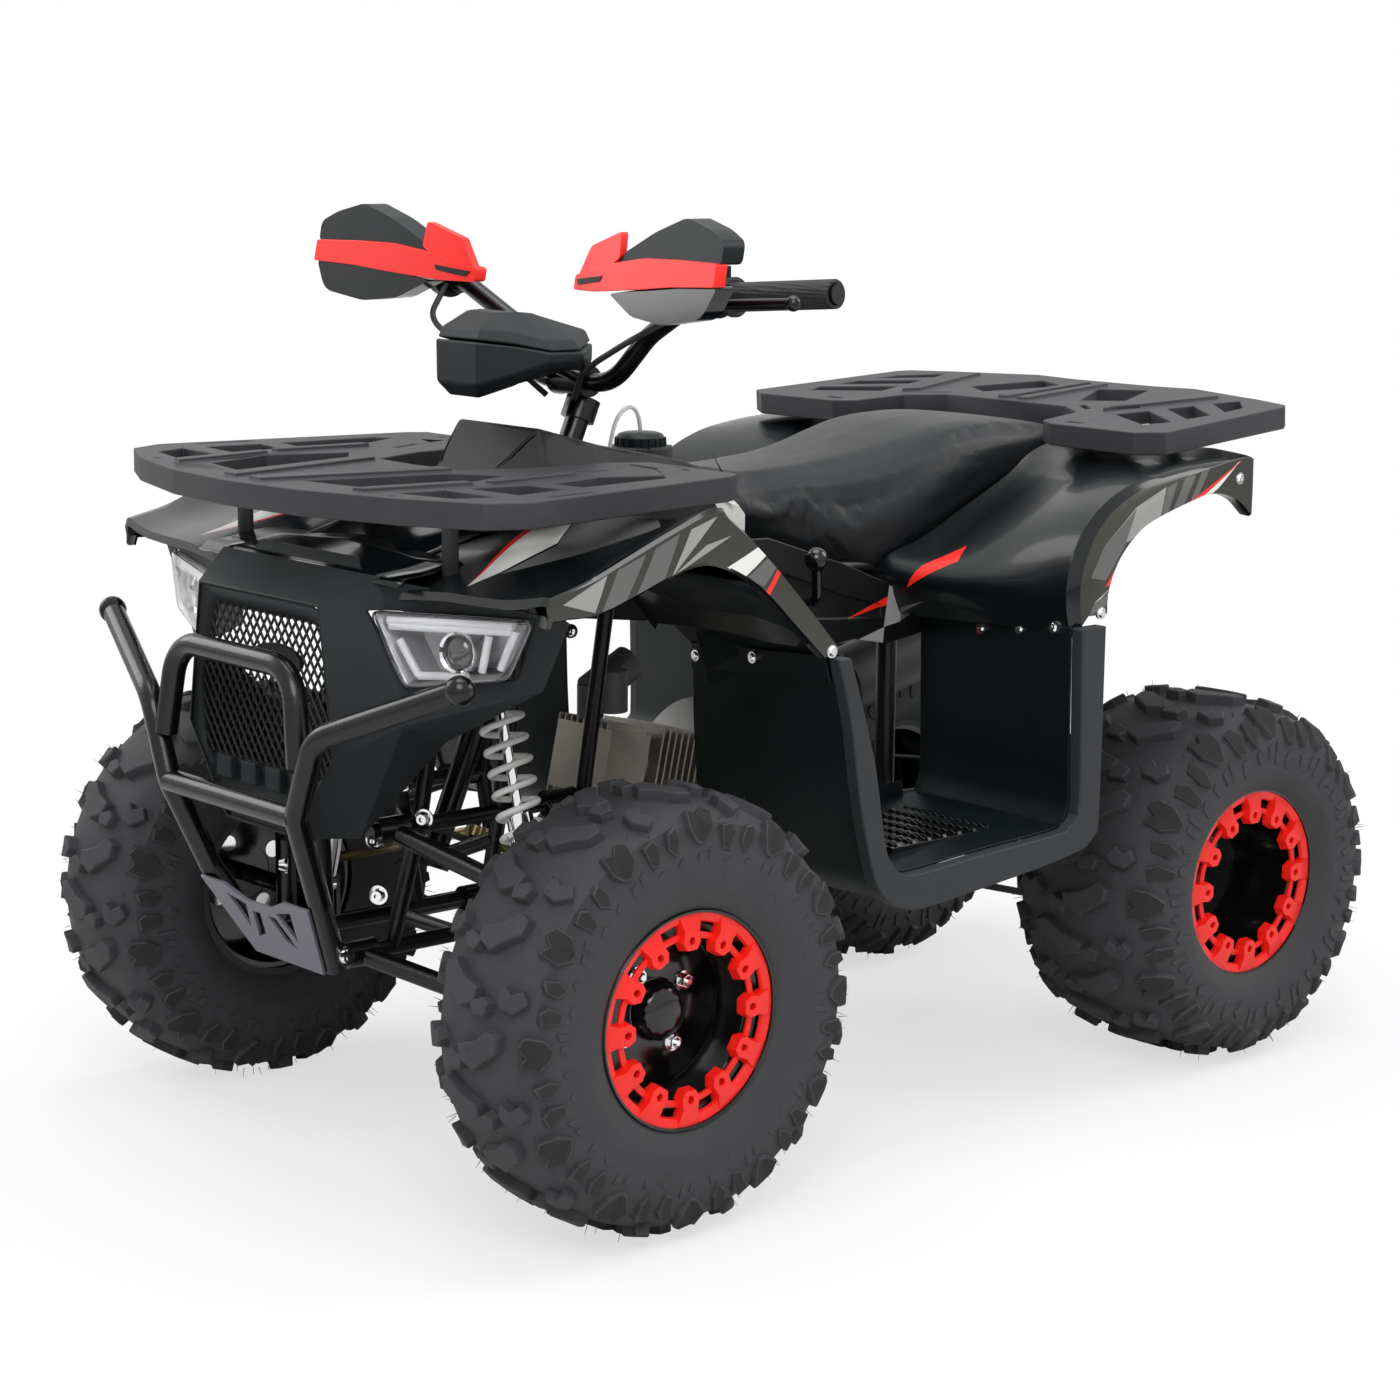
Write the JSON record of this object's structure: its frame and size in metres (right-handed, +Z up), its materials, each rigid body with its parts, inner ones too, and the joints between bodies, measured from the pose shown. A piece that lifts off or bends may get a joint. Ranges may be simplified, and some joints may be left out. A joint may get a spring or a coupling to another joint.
{
  "type": "quad bike",
  "caption": "Small sport-utility quad bike with a steered front axle, live chain-driven rear axle, padded seat, footwells, cargo racks and a tubular bumper.",
  "frame": {"origin": "on the floor under the middle of the overall length within 10 mm, midway between the left and right wheels", "axes": "-Y is the front, +X the rider's left, +Z up"},
  "size_m": [0.924, 1.4825, 1.062],
  "materials": {
    "frame_paint": "satin",
    "plate_paint": "satin",
    "suspension_paint": "satin",
    "spring_paint": "gloss",
    "shock_steel": "gloss",
    "zinc_steel": "satin",
    "axle_steel": "satin",
    "chain_steel": "satin",
    "gloss_black": "gloss",
    "matt_black": "matt",
    "trim_grey": "matt",
    "rack_black": "satin",
    "lamp_clear": "gloss",
    "tail_red": "gloss",
    "seat_vinyl": "satin",
    "soft_rubber": "matt",
    "tyre_rubber": "matt",
    "rim_black": "gloss",
    "ring_orange": "gloss",
    "engine_alloy": "satin",
    "head_alloy": "satin",
    "exhaust_black": "matt",
    "peg_alloy": "satin"
  },
  "bodies": {
    "chassis": {"frame": "frame_paint", "front_bumper": "frame_paint", "bumper_plate": "plate_paint", "front_mask": "trim_grey", "front_grille": "matt_black", "headlamps": "lamp_clear", "hood": "gloss_black", "steering_cowl": "matt_black", "fuel_cap": "soft_rubber", "front_fender_left": "gloss_black", "front_fender_right": "gloss_black", "seat": "seat_vinyl", "side_panel_left": "matt_black", "side_panel_right": "matt_black", "footwell_left": "matt_black", "footwell_right": "matt_black", "foot_pegs": "peg_alloy", "rear_fender_left": "gloss_black", "rear_fender_right": "gloss_black", "tail_lamp": "tail_red", "front_rack": "rack_black", "rear_rack": "rack_black", "engine_case": "engine_alloy", "cylinder_head": "head_alloy", "carburettor": "engine_alloy", "exhaust": "exhaust_black", "gear_lever": "soft_rubber", "swing_arm": "suspension_paint", "rear_shock": "shock_steel", "drive_chain": "chain_steel", "chain_guard": "matt_black", "front_arms": "suspension_paint", "front_shocks": "shock_steel", "front_springs": "spring_paint"},
    "steering": {"steering_stem": "suspension_paint", "handlebar": "frame_paint", "grips": "soft_rubber", "control_levers": "suspension_paint", "hand_guard_left": "gloss_black", "hand_guard_right": "gloss_black", "meter_pod": "gloss_black", "control_cables": "soft_rubber"},
    "knuckle_left": {"knuckle_left": "suspension_paint"},
    "knuckle_right": {"knuckle_right": "suspension_paint"},
    "tie_rod_left": {"tie_rod_left": "zinc_steel"},
    "tie_rod_right": {"tie_rod_right": "zinc_steel"},
    "front_wheel_left": {"front_tyre_left": "tyre_rubber", "front_rim_left": "rim_black", "front_bead_ring_left": "ring_orange"},
    "front_wheel_right": {"front_tyre_right": "tyre_rubber", "front_rim_right": "rim_black", "front_bead_ring_right": "ring_orange"},
    "rear_axle": {"rear_axle": "axle_steel", "rear_sprocket": "chain_steel", "rear_tyre_left": "tyre_rubber", "rear_rim_left": "rim_black", "rear_bead_ring_left": "ring_orange", "rear_tyre_right": "tyre_rubber", "rear_rim_right": "rim_black", "rear_bead_ring_right": "ring_orange"}
  },
  "joints": [
    {"name": "steering_turn", "type": "hinge", "parent": "chassis", "child": "steering", "pos_m": [0, -0.462, 0.347], "axis": [0, 0.3957, 0.9184], "range_deg": [-30, 30]},
    {"name": "knuckle_left_turn", "type": "hinge", "parent": "chassis", "child": "knuckle_left", "pos_m": [0.3, -0.468, 0.241], "axis": [0, 0, 1], "range_deg": [-30, 30]},
    {"name": "tie_rod_left_turn", "type": "hinge", "parent": "steering", "child": "tie_rod_left", "pos_m": [0.012, -0.3987, 0.35239], "axis": [0, 0.3957, 0.9184], "range_deg": [-30, 30]},
    {"name": "front_wheel_left_spin", "type": "hinge", "parent": "knuckle_left", "child": "front_wheel_left", "pos_m": [0.377, -0.468, 0.241], "axis": [1, 0, 0], "continuous": true},
    {"name": "knuckle_right_turn", "type": "hinge", "parent": "chassis", "child": "knuckle_right", "pos_m": [-0.3, -0.468, 0.241], "axis": [0, 0, 1], "range_deg": [-30, 30]},
    {"name": "tie_rod_right_turn", "type": "hinge", "parent": "steering", "child": "tie_rod_right", "pos_m": [-0.012, -0.3987, 0.35239], "axis": [0, 0.3957, 0.9184], "range_deg": [-30, 30]},
    {"name": "front_wheel_right_spin", "type": "hinge", "parent": "knuckle_right", "child": "front_wheel_right", "pos_m": [-0.377, -0.468, 0.241], "axis": [1, 0, 0], "continuous": true},
    {"name": "rear_axle_spin", "type": "hinge", "parent": "chassis", "child": "rear_axle", "pos_m": [0, 0.501, 0.231], "axis": [1, 0, 0], "continuous": true}
  ],
  "couplings": [
    {"joint": "knuckle_left_turn", "follows": "steering_turn", "ratio": 1},
    {"joint": "tie_rod_left_turn", "follows": "steering_turn", "ratio": -1},
    {"joint": "knuckle_right_turn", "follows": "steering_turn", "ratio": 1},
    {"joint": "tie_rod_right_turn", "follows": "steering_turn", "ratio": -1}
  ]
}
